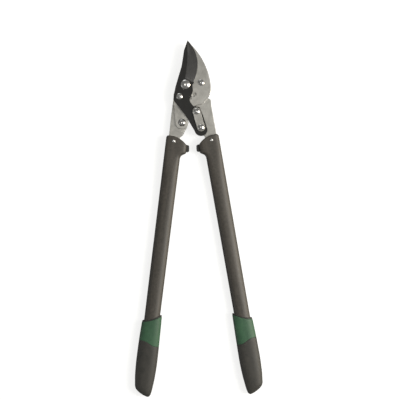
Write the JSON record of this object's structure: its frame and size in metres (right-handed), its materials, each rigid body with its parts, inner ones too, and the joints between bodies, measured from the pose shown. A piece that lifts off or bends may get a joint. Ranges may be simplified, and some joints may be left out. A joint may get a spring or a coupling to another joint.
{
  "type": "long-handled bypass lopper",
  "caption": "Long-handled bypass lopper with a compound linkage: curved blade, hook jaw, oval handles with bosses, bumpers and two-colour grips.",
  "frame": {"origin": "main pivot axis, at the end face of the pivot bolt, on the plane that the lopper lies on", "axes": "+Y towards the blade tip, +Z out of the front of the head, +X to the right, towards the handle that is rigid with the blade"},
  "size_m": [0.2476, 0.6896, 0.03],
  "materials": {
    "blade_black": "satin black non-stick coating on steel",
    "plate_silver": "satin zinc-plated steel plate",
    "hardware": "plated steel rivets, bolt, nut, washers and sleeves",
    "handle_composite": "fine-grained warm dark grey moulded composite",
    "core_tube": "plain drawn tube, hidden inside the handle",
    "bumper_rubber": "matt black rubber",
    "grip_dark": "soft dark grey grip moulding",
    "grip_green": "soft dark green grip moulding",
    "plug_plastic": "black moulded plug, hidden inside the grip"
  },
  "bodies": {
    "frame": {"blade": "blade_black", "arm_strap": "plate_silver", "arm_rivet_upper": "hardware", "arm_rivet_lower": "hardware", "arm_spacer_upper": "hardware", "arm_spacer_lower": "hardware", "pivot_bolt": "hardware", "pivot_washer": "hardware", "pivot_nut": "hardware", "handle_pivot_pin": "hardware", "handle_pivot_spacer": "hardware", "handle_pivot_washer": "hardware", "right_tang": "plate_silver", "right_handle": "handle_composite", "right_core": "core_tube", "right_bumper": "bumper_rubber", "right_cross_rivet": "hardware", "right_grip": "grip_dark", "right_grip_band": "grip_green", "right_grip_lip": "grip_dark", "right_end_plug": "plug_plastic"},
    "hook": {"hook": "plate_silver", "hook_stop_rivet": "hardware", "drive_pin": "hardware", "drive_pin_ring": "blade_black", "drive_bush": "hardware", "drive_washer": "hardware", "pivot_bush": "hardware"},
    "left_lever": {"left_tang": "plate_silver", "left_handle": "handle_composite", "left_core": "core_tube", "left_bumper": "bumper_rubber", "left_cross_rivet": "hardware", "left_grip": "grip_dark", "left_grip_band": "grip_green", "left_grip_lip": "grip_dark", "left_end_plug": "plug_plastic"}
  },
  "joints": [
    {"name": "left_handle_hinge", "type": "hinge", "parent": "frame", "child": "left_lever", "pos_m": [-0.0116, -0.0232, 0.0125], "axis": [0, 0, -1], "range_deg": [-7, 59]},
    {"name": "hook_hinge", "type": "hinge", "parent": "frame", "child": "hook", "pos_m": [0, 0, 0.0174], "axis": [0, 0, -1], "range_deg": [-4.74, 39.9]}
  ],
  "couplings": [
    {"joint": "hook_hinge", "follows": "left_handle_hinge", "ratio": 0.676}
  ]
}
